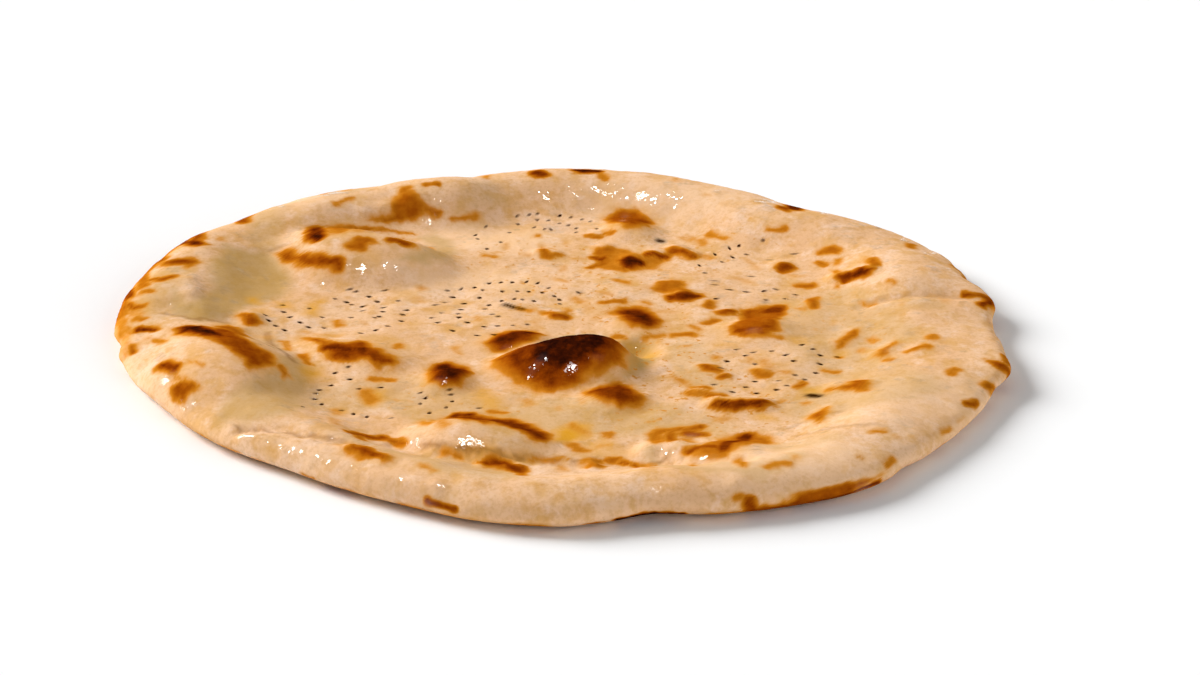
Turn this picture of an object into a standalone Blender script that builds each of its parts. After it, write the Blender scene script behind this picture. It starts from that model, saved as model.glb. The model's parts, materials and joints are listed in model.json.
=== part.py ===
"""A round tandoor naan: one uneven disc of baked dough, puffed up round its edge and
blistered over its docked middle.

Frame: +Z up, the bread lies flat on z = 0, and the origin is under the middle of its box.
Its near side is at -Y and its left at -X. Lengths are millimetres, and bearings are degrees
counter-clockwise from +X.
"""

import math
from collections import namedtuple

import bmesh
import bpy

MM = 0.001

# Driving dimensions
RINGS, LIP_RINGS = 30, 3  # rings of faces on the top, and how many of them are on the lip
MIDDLE_THICKNESS = 6.0  # the docked sheet between the blisters
LIP_HEIGHT = 4.0  # the edge is a thin round lip: height of its widest line,
LIP_WIDTH, LIP_RISE = 4.0, 3.4  # and how far the lip turns in and up from there
TUCK_IN, TUCK_HEIGHT = 3.2, 1.0  # the underside curls in below the widest line
FOOT_IN = 11.0  # the flat underside starts this far in from the outline
WAVE_HEIGHT = 0.5  # slow unevenness of the stretched sheet
WAVES_IN = 22.0  # its waves fade out from here to the outline
NICK_REACH = 14.0  # the edge's nubs and nicks reach this far in
UNDERSIDE_RING = 0.62  # an extra ring on the flat underside, as a share of the foot

# The outline: distance from the middle every 10 degrees
OUTLINE = [
    148.8, 150.5, 151.5, 152.0, 148.0, 142.5, 144.0, 146.0, 147.5, 147.0, 144.5, 141.5,
    148.5, 152.5, 153.0, 155.0, 153.8, 152.8, 149.8, 146.2, 141.5, 137.8, 134.8, 131.5,
    132.2, 134.4, 138.5, 140.4, 138.8, 141.4, 146.6, 151.0, 149.8, 150.0, 150.8, 152.0,
]  # fmt: skip

# Small nubs and nicks on it: bearing, half width in degrees, how far out
NICKS = [
    (8.0, 4.0, 2.6), (15.0, 4.0, -2.6), (24.0, 4.0, 1.5), (53.0, 3.5, -1.2),
    (84.0, 2.2, 1.8), (183.5, 3.5, -2.6), (190.0, 3.0, -0.8), (271.0, 5.0, 0.6),
    (282.5, 4.0, -1.2), (317.5, 3.0, -1.5), (347.0, 4.5, 2.4),
]  # fmt: skip

# The puffed rim every 30 degrees: the height of its ridge, how far in from the outline
# the ridge is, and how far in the slope behind it ends
RIM_TOP = [10.5, 13.0, 15.0, 15.0, 15.0, 14.5, 12.0, 11.5, 11.5, 12.5, 12.5, 11.0]
RIDGE_IN = [24.0, 24.0, 22.0, 20.0, 20.0, 22.0, 24.0, 22.0, 15.0, 13.0, 14.0, 22.0]
RIM_WIDTH = [56.0, 50.0, 46.0, 42.0, 46.0, 56.0, 56.0, 48.0, 30.0, 32.0, 34.0, 52.0]

# Places where the edge curls up off the oven cloth: bearing, half width in degrees, lift
LIFTS = [(284.0, 8.0, 1.6), (350.0, 14.0, 2.0), (10.0, 10.0, 2.2), (92.0, 16.0, 1.5)]

# A puff is a dome that reaches a different way to each side: left, right, near and far in
# its own turned axes. A roundness under 1 is a tight blister, above 1 a soft swelling.
Puff = namedtuple("Puff", "x y left right near far turn height roundness")
PUFFS = {
    "left_pillow": Puff(-100, -28, 29, 29, 46, 14, -40, 6.8, 1.0),
    "left_back_bubble": Puff(-74, 64, 24, 42, 27, 16, -14, 11.5, 1.0),
    "far_bubble": Puff(-42, 112, 27, 26, 17, 15, -5, 3.6, 1.0),
    "dark_blister": Puff(11, -27, 34, 23, 22, 13, 2, 11.0, 0.95),
    "brown_blister": Puff(-11, -9, 12, 12, 10, 9, 3, 3.2, 1.0),
    "small_dark_blister": Puff(-35, -42, 10, 9, 9, 9, -12, 4.5, 1.0),
    "near_bubble": Puff(-24, -86, 26, 28, 16, 12, -14, 6.4, 0.95),
    "brown_streak_fold": Puff(-68, -20, 24, 24, 15, 11, -20, 3.6, 1.0),
    "near_right_bubble": Puff(54, -98, 19, 19, 12, 10, 3, 4.2, 1.0),
    "right_blister": Puff(69, 1, 12, 14, 14, 12, 10, 3.4, 1.0),
    "far_brown_blister": Puff(26, 92, 13, 13, 12, 10, -20, 4.2, 1.0),
    "middle_brown_blister": Puff(20, -56, 12, 12, 10, 9, -15, 3.8, 1.0),
    "far_middle_blister": Puff(27, 5, 10, 10, 11, 10, 0, 2.6, 1.0),
    "right_fold": Puff(120, 36, 32, 34, 11, 26, 4, 2.6, 1.1),
}


def smooth_step(t):
    """0 to 1 with no slope at either end."""
    t = min(max(t, 0.0), 1.0)
    return t * t * (3.0 - 2.0 * t)


def round_the_ring(values, bearing):
    """A smooth closed curve through values that are evenly spaced round the bread."""
    place = (bearing % 360.0) / 360.0 * len(values)
    index = int(place)
    t = place - index
    a, b, c, d = (values[(index + step) % len(values)] for step in (-1, 0, 1, 2))
    return b + 0.5 * t * (c - a + t * (2 * a - 5 * b + 4 * c - d + t * (3 * (b - c) + d - a)))


def local_bumps(bumps, bearing):
    """The sum of short smooth bumps round the bread: bearing, half width, size."""
    total = 0.0
    for middle, half_width, size in bumps:
        away = abs((bearing - middle + 180.0) % 360.0 - 180.0)
        total += size * smooth_step(1.0 - away / half_width)
    return total


def outline(bearing):
    """Distance from the middle to the edge, without its small nubs and nicks."""
    return round_the_ring(OUTLINE, bearing)


def edge_distance(bearing):
    """Distance from the middle to the edge itself."""
    return outline(bearing) + local_bumps(NICKS, bearing)


def rim_height(inwards, bearing):
    """Top of the dough this far in from the outline: lip, rise to the ridge, slope down."""
    top = round_the_ring(RIM_TOP, bearing)
    ridge_in = round_the_ring(RIDGE_IN, bearing)
    width = round_the_ring(RIM_WIDTH, bearing)
    if inwards > ridge_in:
        return top + (MIDDLE_THICKNESS - top) * smooth_step((inwards - ridge_in) / (width - ridge_in))
    lip = LIP_HEIGHT + local_bumps(LIFTS, bearing)
    turned = max(0.0, 1.0 - inwards / LIP_WIDTH)
    below = 1.0 - inwards / ridge_in
    rise = (top - lip - LIP_RISE) * (1.0 - below * below)
    return lip + LIP_RISE * math.sqrt(1.0 - turned * turned) + rise


def puff_height(puff, x, y):
    """Height that one puff adds at this point."""
    turn = math.radians(puff.turn)
    along = (x - puff.x) * math.cos(turn) + (y - puff.y) * math.sin(turn)
    across = (y - puff.y) * math.cos(turn) - (x - puff.x) * math.sin(turn)
    along /= puff.right if along > 0 else puff.left
    across /= puff.far if across > 0 else puff.near
    inside = 1.0 - along * along - across * across
    return puff.height * inside**puff.roundness if inside > 0 else 0.0


def waves(x, y):
    """Slow unevenness of the stretched sheet."""
    long_wave = math.sin(x / 17.0 + 1.3) * math.sin(y / 14.0)
    short_wave = math.sin((x + y) / 13.0) * math.sin((x - y) / 10.0 + 0.7)
    return WAVE_HEIGHT * (long_wave + 0.6 * short_wave)


def top_height(x, y):
    """Height of the bread's top at this point, in millimetres."""
    bearing = math.degrees(math.atan2(y, x))
    inwards = max(outline(bearing) - math.hypot(x, y), 0.0)
    height = rim_height(inwards, bearing)
    height += waves(x, y) * smooth_step(inwards / WAVES_IN)
    return height + sum(puff_height(puff, x, y) for puff in PUFFS.values())


def ring_distance(ring, edge):
    """Ring number to distance from the middle: close together on the round lip."""
    inner = RINGS - LIP_RINGS
    if ring <= inner:
        return (edge - LIP_WIDTH) * ring / inner
    angle = math.radians(90.0) * (RINGS - ring) / LIP_RINGS
    return edge - LIP_WIDTH * (1.0 - math.cos(angle))


def disc_place(column, row):
    """A square grid's vertex moved onto the disc: distance and bearing."""
    ring = max(abs(column), abs(row))
    if ring == 0:
        return 0.0, 0.0
    if abs(column) >= abs(row):
        bearing = 45.0 * row / column + (0.0 if column > 0 else 180.0)
    else:
        bearing = 90.0 - 45.0 * column / row + (0.0 if row > 0 else 180.0)
    return ring_distance(ring, outline(bearing)), bearing


def polar(distance, bearing, height):
    """A point in metres from a distance and a height in millimetres."""
    angle = math.radians(bearing)
    return (distance * math.cos(angle) * MM, distance * math.sin(angle) * MM, height * MM)


def shape_top(mesh):
    """Bend the flat grid into the bread's top."""
    for vertex in mesh.verts:
        distance, bearing = disc_place(round(vertex.co.x), round(vertex.co.y))
        x, y, _ = polar(distance, bearing, 0.0)
        height = top_height(x / MM, y / MM)
        near_edge = smooth_step(1.0 - (outline(bearing) - distance) / NICK_REACH)
        distance += local_bumps(NICKS, bearing) * near_edge
        vertex.co = polar(distance, bearing, height)


def tuck_place(bearing):
    height = TUCK_HEIGHT + local_bumps(LIFTS, bearing)
    return polar(edge_distance(bearing) - TUCK_IN, bearing, height)


def foot_place(bearing):
    return polar(outline(bearing) - FOOT_IN, bearing, 0.0)


def underside_place(bearing):
    return polar((outline(bearing) - FOOT_IN) * UNDERSIDE_RING, bearing, 0.0)


def extrude_loop(mesh, edges, place):
    """Extrude a closed loop of edges, and put each new vertex where place says."""
    made = bmesh.ops.extrude_edge_only(mesh, edges=edges)["geom"]
    for vertex in (item for item in made if isinstance(item, bmesh.types.BMVert)):
        vertex.co = place(math.degrees(math.atan2(vertex.co.y, vertex.co.x)))
    return [item for item in made if isinstance(item, bmesh.types.BMEdge) and item.is_boundary]


def close_underside(mesh):
    """Carry the edge in under the bread and close it with one flat face."""
    loop = [edge for edge in mesh.edges if edge.is_boundary]
    for place in (tuck_place, foot_place, underside_place):
        loop = extrude_loop(mesh, loop, place)
    bmesh.ops.contextual_create(mesh, geom=loop)
    bmesh.ops.recalc_face_normals(mesh, faces=mesh.faces)


def centre_on_box(mesh):
    """Put the origin under the middle of the bread's box."""
    for axis in (0, 1):
        places = [vertex.co[axis] for vertex in mesh.verts]
        middle = (min(places) + max(places)) / 2
        for vertex in mesh.verts:
            vertex.co[axis] -= middle


def baked_dough():
    material = bpy.data.materials.new("baked_dough")
    material.use_nodes = True
    shader = material.node_tree.nodes["Principled BSDF"]
    shader.inputs["Base Color"].default_value = (0.66, 0.40, 0.19, 1.0)
    shader.inputs["Roughness"].default_value = 0.45
    shader.inputs["Metallic"].default_value = 0.0
    return material


def make_naan():
    mesh = bmesh.new()
    bmesh.ops.create_grid(mesh, x_segments=2 * RINGS, y_segments=2 * RINGS, size=RINGS)
    shape_top(mesh)
    close_underside(mesh)
    centre_on_box(mesh)
    data = bpy.data.meshes.new("naan")
    mesh.to_mesh(data)
    mesh.free()
    data.shade_smooth()
    naan = bpy.data.objects.new("naan", data)
    data.materials.append(baked_dough())
    bpy.context.scene.collection.objects.link(naan)
    return naan


def main():
    for item in list(bpy.data.objects):
        bpy.data.objects.remove(item)
    make_naan()


main()
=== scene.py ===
# %% [markdown]
# # A naan bread
# Naan is a flat leavened bread. A ball of soft dough is pressed into a disc, pricked
# with a stamp of pins, slapped on the wall of a very hot clay oven and brushed with
# butter. Three things make its looks: the shape of the dough (a puffed rim, a thin
# middle, blisters), the pricked rings, and the browning, which is darkest where a
# blister stood up into the heat. Each gets its own steps below.
#
# The bread's solid comes from the frame, as the node "naan". It is right in its main
# shapes but coarse, so a finer copy of it takes its place.

# %% Load the frame
import json
import math

import bmesh
import bpy
import numpy as np
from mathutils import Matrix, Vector, kdtree, noise

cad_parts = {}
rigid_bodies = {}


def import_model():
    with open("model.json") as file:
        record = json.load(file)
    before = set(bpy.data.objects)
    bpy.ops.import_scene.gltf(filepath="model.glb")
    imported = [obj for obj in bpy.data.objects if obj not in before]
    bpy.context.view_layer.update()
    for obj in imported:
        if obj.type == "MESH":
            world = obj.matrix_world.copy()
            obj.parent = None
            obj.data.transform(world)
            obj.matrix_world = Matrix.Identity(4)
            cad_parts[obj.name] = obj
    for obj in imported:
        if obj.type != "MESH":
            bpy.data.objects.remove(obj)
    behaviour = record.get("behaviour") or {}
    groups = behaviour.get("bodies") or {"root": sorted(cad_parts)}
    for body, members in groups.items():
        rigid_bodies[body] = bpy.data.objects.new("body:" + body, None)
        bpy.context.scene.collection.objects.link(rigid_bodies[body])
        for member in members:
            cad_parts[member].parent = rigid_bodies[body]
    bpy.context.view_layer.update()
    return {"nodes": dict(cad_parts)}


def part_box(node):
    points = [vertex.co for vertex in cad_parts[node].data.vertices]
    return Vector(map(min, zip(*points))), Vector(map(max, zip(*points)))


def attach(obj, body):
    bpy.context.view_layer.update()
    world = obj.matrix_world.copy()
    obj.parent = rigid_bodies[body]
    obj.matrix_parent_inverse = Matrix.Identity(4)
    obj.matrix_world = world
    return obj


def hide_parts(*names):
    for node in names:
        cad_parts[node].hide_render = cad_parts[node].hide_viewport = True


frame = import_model()
MM = 0.001
low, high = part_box("naan")
print("naan solid, mm:", [round((b - a) / MM, 1) for a, b in zip(low, high)])

# %% [markdown]
# ## The camera
# A bread on a table is seen from a seat: from the front, about a quarter of a right
# angle above the table top. A long lens from a metre away keeps the disc's ellipse
# even. The camera looks level along +Y and is only tipped down, so the bread's left
# stays left.

# %% Set up the camera
LOOK_DOWN = 23.5
CAMERA_AT = (14.7, -1028.1, 449.2)
SENSOR_WIDTH, LENS = 36.0, 99.0

eye = bpy.data.cameras.new("eye")
eye.sensor_width = SENSOR_WIDTH
eye.lens = LENS
camera = bpy.data.objects.new("camera", eye)
camera.location = Vector(CAMERA_AT) * MM
camera.rotation_euler = (math.radians(90 - LOOK_DOWN), 0, 0)
bpy.context.collection.objects.link(camera)
bpy.context.scene.camera = camera
print("camera", round(camera.location.length, 2), "m from the bread's middle")

# %% [markdown]
# ## Floor and light
# A plain white floor and one broad soft key lamp, low on the left and a little behind,
# as in a studio. The bread's slopes that face right then fall into soft shade, which is
# what lets the pillows and blisters be read, and its shadow falls to the right and the
# front. A weak fill from the front right keeps the front face of the rim open, and the
# white world softens the rest. A lamp high behind is only for the butter to mirror, so
# it gives gloss and no other light. Colours are meant as they are written, so the plain
# Standard view is used.

# %% Lay the floor and hang the lamps
WORLD_LIGHT = 0.29
KEY_FROM, KEY_STRENGTH, KEY_SPREAD = (-1.15, 0.6, 0.7), 4.3, 30
FILL_FROM, FILL_STRENGTH, FILL_SPREAD = (1.0, -0.64, 0.3), 1.3, 60
TOP_LAMP_AT, TOP_LAMP_WIDTH, TOP_LAMP_POWER = (-350, 350, 2250), 560, 60

bpy.ops.object.select_all(action="DESELECT")
bpy.ops.mesh.primitive_plane_add(size=8.0, location=(0, 0, 0))
floor = bpy.context.object
floor.name = "floor"
bpy.ops.object.mode_set(mode="EDIT")
bpy.ops.mesh.subdivide(number_cuts=3)
bpy.ops.object.mode_set(mode="OBJECT")
white = bpy.data.materials.new("white floor")
white.use_nodes = True
white.node_tree.nodes["Principled BSDF"].inputs["Base Color"].default_value = (0.97, 0.97, 0.97, 1)
white.node_tree.nodes["Principled BSDF"].inputs["Roughness"].default_value = 0.9
white.node_tree.nodes["Principled BSDF"].inputs["Specular IOR Level"].default_value = 0.0
floor.data.materials.append(white)

world = bpy.data.worlds.new("studio")
bpy.context.scene.world = world
world.use_nodes = True
world.node_tree.nodes["Background"].inputs["Color"].default_value = (1, 1, 1, 1)
world.node_tree.nodes["Background"].inputs["Strength"].default_value = WORLD_LIGHT


def hang(light, place):
    """Hang a lamp at a place and point it at the bread's middle."""
    lamp = bpy.data.objects.new(light.name, light)
    lamp.location = place
    lamp.rotation_euler = (-lamp.location).to_track_quat("-Z", "Y").to_euler()
    bpy.context.collection.objects.link(lamp)
    return lamp


def shine(name, place, strength, spread):
    """A broad even lamp, so far away that only its direction counts."""
    light = bpy.data.lights.new(name, "SUN")
    light.energy = strength
    light.angle = math.radians(spread)
    return hang(light, Vector(place))


key = shine("key lamp", KEY_FROM, KEY_STRENGTH, KEY_SPREAD)
fill_lamp = shine("fill lamp", FILL_FROM, FILL_STRENGTH, FILL_SPREAD)
fill_lamp.visible_glossy = False
top_lamp = bpy.data.lights.new("top lamp", "AREA")
top_lamp.size = TOP_LAMP_WIDTH * MM
top_lamp.energy = TOP_LAMP_POWER
hang(top_lamp, Vector(TOP_LAMP_AT) * MM).visible_diffuse = False
bpy.context.scene.view_settings.view_transform = "Standard"
bpy.context.scene.view_settings.look = "None"
print("lamps:", key.name, fill_lamp.name, top_lamp.name)

# %% [markdown]
# ## The dough, as a finer copy of the solid
# The solid's mesh is loose triangles about 5 mm wide. It could be remeshed with
# voxels, but that makes an even soup with no direction in it. Merging the points and
# joining triangles in pairs gives back a clean grid of squares, and two rounds of
# Subdivision Surface make them about 1 mm wide and smooth, fine enough for a small
# blister and for the holes of the stamp.

# %% Copy the solid, join its triangles and subdivide
JOIN_ANY = math.pi
SUBDIVISIONS = 2

bpy.ops.object.select_all(action="DESELECT")
solid = frame["nodes"]["naan"]
solid.select_set(True)
bpy.context.view_layer.objects.active = solid
bpy.ops.object.duplicate()
bread = bpy.context.object
bread.name = "bread"
bpy.ops.object.mode_set(mode="EDIT")
bpy.ops.mesh.select_all(action="SELECT")
bpy.ops.mesh.remove_doubles(threshold=0.01 * MM)
bpy.ops.mesh.tris_convert_to_quads(
    face_threshold=JOIN_ANY, shape_threshold=JOIN_ANY, topology_influence=2.0
)
bpy.ops.object.mode_set(mode="OBJECT")
finer = bread.modifiers.new("finer", "SUBSURF")
finer.levels = finer.render_levels = SUBDIVISIONS
bpy.ops.object.modifier_apply(modifier="finer")
print("dough:", len(bread.data.vertices), "points,", len(bread.data.polygons), "faces")


# %% [markdown]
# ## Pushing and pulling the dough
# The small forms are made as a hand would: take hold of a line of points and push
# it up or down, with Blender's proportional editing carrying the dough around it.
# Sculpting needs a window, and a displacement picture would say nothing about why a
# form is there, so a list of named pushes is kept instead. The flat underside is
# hidden first, so that it stays flat on the table.

# %% Define the push
STEP = 1.2
TOP_FROM = 2.5


def points_of(mesh):
    """All the mesh's points in mm, one row each."""
    flat = np.empty(len(mesh.vertices) * 3)
    mesh.vertices.foreach_get("co", flat)
    return flat.reshape(-1, 3) / MM


def plan_tree(places, lowest):
    """A search tree of the points above a height, by their place in plan."""
    above = np.flatnonzero(places[:, 2] > lowest)
    tree = kdtree.KDTree(len(above))
    for index in above:
        tree.insert((places[index, 0], places[index, 1], 0), int(index))
    tree.balance()
    return tree


def along(path):
    """Places every STEP mm along a line of plan points."""
    if len(path) == 1:
        return [path[0]]
    places = []
    for (x1, y1), (x2, y2) in zip(path, path[1:]):
        parts = max(1, round(math.hypot(x2 - x1, y2 - y1) / STEP))
        places += [
            (x1 + (x2 - x1) * n / parts, y1 + (y2 - y1) * n / parts) for n in range(parts)
        ]
    return places + [path[-1]]


def take_hold(points):
    """Select only these points of the bread, in edit mode."""
    bpy.ops.mesh.select_all(action="DESELECT")
    edited = bmesh.from_edit_mesh(bread.data)
    edited.verts.ensure_lookup_table()
    for index in points:
        edited.verts[index].select = True
    edited.select_flush_mode()
    bmesh.update_edit_mesh(bread.data, loop_triangles=False, destructive=False)


def push(path, reach, move, fall="SMOOTH"):
    """Move the dough along a line: reach in mm, and a lift or an (x, y, z) move."""
    move = (0, 0, move) if isinstance(move, (int, float)) else move
    take_hold({TREE.find((x, y, 0))[1] for x, y in along(path)})
    bpy.ops.transform.translate(
        value=Vector(move) * MM,
        use_proportional_edit=True,
        proportional_edit_falloff=fall,
        proportional_size=reach * MM,
    )


TREE = plan_tree(points_of(bread.data), TOP_FROM)
print("points that can be pushed:", len(points_of(bread.data)))

# %% [markdown]
# ## Small blisters
# Steam lifts the skin of the dough in dozens of places. The large blisters are in the
# solid already. The small ones are a millimetre or two high, and nearly all of them
# carry a brown mark, because they stood nearest to the heat.

# %% Raise the small blisters
SMALL_BLISTERS = {
    "back middle": [
        ([(26, 60)], 8, 1.6), ([(34, 66)], 6, 1.1), ([(42, 71), (47, 65)], 5, 1.3),
        ([(17, 73)], 6, 1.1), ([(-6, 67), (-2, 66)], 6, 1.1), ([(12, 84)], 5, 0.7),
        ([(-60, 96), (-54, 99)], 8, 1.4), ([(-70, 93), (-64, 96)], 6, 0.8),
    ],
    "middle": [
        ([(0, 9)], 6, 1.1), ([(43, 29)], 7, 1.5), ([(38, 37)], 7, 0.9),
        ([(52, 21)], 5, 0.6), ([(58, 14)], 5, 0.7), ([(-104, 5)], 8, 1.3),
    ],
    "right": [
        ([(98, 39), (108, 37)], 6, 1.8), ([(79, 54)], 7, 1.3), ([(88, 21)], 6, 0.9),
        ([(96, -13), (100, -6)], 6, 1.0), ([(108, -25), (112, -22)], 6, 1.0),
        ([(119, -27), (123, -26)], 5, 0.6), ([(126, -19)], 5, 0.5),
    ],
    "front right": [
        ([(53, -63), (67, -63)], 7, 2.2), ([(48, -34), (53, -37)], 5, 0.9),
        ([(57, -41)], 4, 0.8), ([(68, -38)], 6, 0.8), ([(92, -52), (99, -54)], 8, 1.6),
        ([(84, -75), (88, -70)], 6, 1.0), ([(31, -98), (38, -97)], 9, 2.3),
        ([(47, -52), (53, -54)], 5, 0.8),
    ],
    "front": [
        ([(-62, -106), (-52, -114)], 7, 1.2), ([(-20, -106), (-12, -108)], 6, 0.9),
        ([(12, -107)], 5, 0.6), ([(57, -131)], 6, 0.7),
    ],
}

bpy.ops.object.mode_set(mode="EDIT")
bpy.ops.mesh.select_mode(type="VERT")
take_hold(np.flatnonzero(points_of(bread.data)[:, 2] < TOP_FROM))
bpy.ops.mesh.hide(unselected=False)
for place, blisters in SMALL_BLISTERS.items():
    for path, reach, lift in blisters:
        push(path, reach, lift)
    print("small blisters,", place + ":", len(blisters))

# %% [markdown]
# ## Creases and folds
# Where the puffed rim meets the thin middle the skin folds. A crease is a narrow
# push down with a fuller push up beside it.

# %% Press in the creases
CREASES = {
    "dark blister, steep end": ([(27, -18), (28, -30), (26, -38)], 10, -3.6),
    "dark blister, crest": ([(6, -20), (14, -21)], 7, 1.0),
    "left rim, valley": ([(-108, 62), (-110, 40), (-113, 22)], 20, -1.8),
    "left rim, crest": ([(-128, 66), (-136, 44), (-140, 20)], 16, 1.6),
    "left rim, ridge": ([(-127, 26), (-125, 14)], 5, 0.9),
    "left pillow, valley": ([(-132, 4), (-120, -2), (-112, 2)], 10, -1.4),
    "front rim, left": ([(-98, -89), (-85, -91), (-70, -100), (-58, -104)], 4, -1.2),
    "front rim, left fold": ([(-96, -94), (-84, -97), (-70, -106)], 6, 0.7),
    "front rim, left shoulder": (
        [(-97, -93), (-88, -99), (-76, -107), (-62, -117), (-46, -127), (-35, -132)], 6, 1.3
    ),
    "front rim, middle": ([(-50, -93), (-38, -101), (-24, -106), (-4, -105), (10, -108)], 4, -1.2),
    "front rim, right": ([(16, -104), (26, -108), (44, -111), (60, -114)], 4, -1.1),
    "right rim": ([(104, 13), (114, 15), (135, 17), (149, 16)], 4, -0.9),
    "right rim, fold": ([(104, 21), (120, 24), (142, 25)], 9, 0.6),
}

for name, (path, reach, lift) in CREASES.items():
    push(path, reach, lift)
bpy.ops.mesh.reveal(select=False)
bpy.ops.object.mode_set(mode="OBJECT")
print("creases:", ", ".join(CREASES))

# %% [markdown]
# ## Uneven dough
# Hand-stretched dough is nowhere quite smooth. Three Displace modifiers with cloud
# textures, coarse to fine, are applied to the top only. Noise from a modifier is
# quick and even-handed. The pushes above could not give so many small bumps.

# %% Roughen the top
ROUGHNESS = {"swells": (26, 1.1), "ripples": (9, 0.7), "grain": (3.2, 0.22)}
KEEP_FLAT_BELOW = 1.5

top_group = bread.vertex_groups.new(name="top")
heights = points_of(bread.data)[:, 2]
for level in range(1, 11):
    chosen = np.flatnonzero((heights - KEEP_FLAT_BELOW) * 4 >= level - 0.5)
    top_group.add([int(i) for i in chosen], level / 10, "REPLACE")
for name, (size, strength) in ROUGHNESS.items():
    clouds = bpy.data.textures.new(name, "CLOUDS")
    clouds.noise_scale = size * MM
    clouds.noise_depth = 2
    bump = bread.modifiers.new(name, "DISPLACE")
    bump.texture = clouds
    bump.texture_coords = "LOCAL"
    bump.direction = "NORMAL"
    bump.vertex_group = "top"
    bump.strength = strength * MM
    bump.mid_level = 0.5
    bpy.ops.object.modifier_apply(modifier=name)
print("top roughened:", ROUGHNESS)

# %% [markdown]
# ## The pricked rings
# Before baking, the dough is pressed with a stamp of pins set in three rings, so that
# it doesn't puff up like a balloon. The dough went on being pulled after that, so no
# ring is still true and half of the pins have closed up again. The pins are therefore
# set one by one, by print and by how hard they went in. Rings made by a loop would be
# shorter to write, but look drawn with compasses. A pin hole starts as one point of
# the grid, moved to the pin's place. Bevelling that point opens a small round patch, and
# two insets with depth sink it.

# %% Place the pins
# Each print: the pins that went in hard, well and faintly.
PINS = {
    "middle": (
        [(-33.5, 9.5), (-27, -6.5), (-21, -7), (-30, 5), (-29, 36), (-16, 39.5)],
        [
            (-24, 39), (-20, 39.5), (-11, 40), (-7, 38.5), (-10, 31), (-5.5, 29.5), (-1, 27),
            (0.5, 24), (-15, 24), (-8, 22.5), (-19.5, 30.5), (-19.5, 23), (-36, 28),
            (-27, 26.5), (-32, 22.5), (-33, 17.5), (-25, 1), (-20, 1), (-35, -3), (-41, 4.5),
            (-23.5, 20),
        ],
        [
            (1, 20), (-12, 23), (-33.5, 34), (-34, 13), (-43, 9), (-24.5, 16), (-22, 11),
            (-42, 21), (-39, 24), (-20, 9), (7.5, 30), (-14, 31), (-40, 14), (-38, 33),
            (-15, 1), (-10, 2), (-26, 32), (-3, 34),
        ],
    ),
    "left": (
        [(-93.5, 12.5), (-95.5, 0.5), (-60, 19), (-67.5, 19.5)],
        [
            (-91, 8), (-99.5, 8), (-98, 3.5), (-92, -3), (-87.5, 3.5), (-84, 1), (-72.5, 23),
            (-60, 15), (-62, 23.5), (-65.5, 28), (-61, 10.5), (-51.5, 16.5), (-52.5, 12),
            (-53, 6), (-57.5, 1), (-61.5, -3),
        ],
        [
            (-77, 25), (-62, 9), (-66, -6), (-70, 9), (-67, 16), (-60, 32), (-72, 32),
            (-70, 31), (-94, 18), (-85, 16), (-71, 21), (-80, 9), (-79, 0), (-55, 24),
        ],
    ),
    "near left": (
        [(-73, -47.5), (-77.5, -58), (-33, -59.5), (-42, -57)],
        [
            (-67, -44), (-72.5, -39), (-56.5, -49), (-76.5, -51), (-75, -62.5), (-60, -71.5),
            (-64, -69.5), (-40, -69),
        ],
        [
            (-68, -36), (-77, -54), (-80, -70), (-63.5, -51), (-43.5, -53.5), (-43, -61.5),
            (-34, -53), (-33.5, -55.5), (-34.5, -64.5), (-24, -66), (-52, -72), (-68, -67),
        ],
    ),
    "far": (
        [],
        [(0, 102.5), (-30.5, 86), (-26, 71)],
        [
            (-16, 101), (-11, 102), (4, 101.5), (3.5, 94),
            (-8, 103), (-4, 98), (-8, 98), (0, 96), (6, 91.5), (-15, 95.5), (-27, 93),
            (-29.5, 81.5), (-9, 91.5), (-5.5, 90), (-3, 89.5), (11, 98), (14, 90), (6, 88),
            (8, 100), (-18, 88), (-21, 78),
        ],
    ),
    "right back": (
        [(65.5, 32.5), (61, 70), (56, 65)],
        [
            (50, 55.5), (64.5, 71.5), (60, 34), (71.5, 32.5), (54.5, 26), (62, 62),
        ],
        [
            (67, 64.5), (73.5, 72.5), (58, 58), (75, 60), (55, 41), (55, 38), (76, 33),
            (72, 25), (79, 26), (83, 29), (52, 48), (84, 62), (68, 45),
        ],
    ),
    "right": (
        [(88, -30.5), (57, -30), (82.5, -15.5), (65.5, -43.5)],
        [
            (85.5, -18.5), (88, -23), (85.5, -37), (76.5, -24.5), (78.5, -29), (62.5, -25),
            (62, -48), (58, -52.5), (65.5, -53), (72, -51),
        ],
        [
            (82, -42.5), (76, -48), (72, -21), (66, -22), (55, -36), (66, -32), (94, -24),
            (52, -47), (73, -44), (60, -20), (79, -40),
        ],
    ),
}
# How wide and deep a pin went in, its dimple, and how dark the painted shade in the hole is.
HARD = (0.84, [-0.9, -0.7], -0.4, 1.0)
WELL = (0.72, [-0.8, -0.5], -0.3, 1.0)
FAINT = (0.56, [-0.4], -0.15, 0.6)


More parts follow.
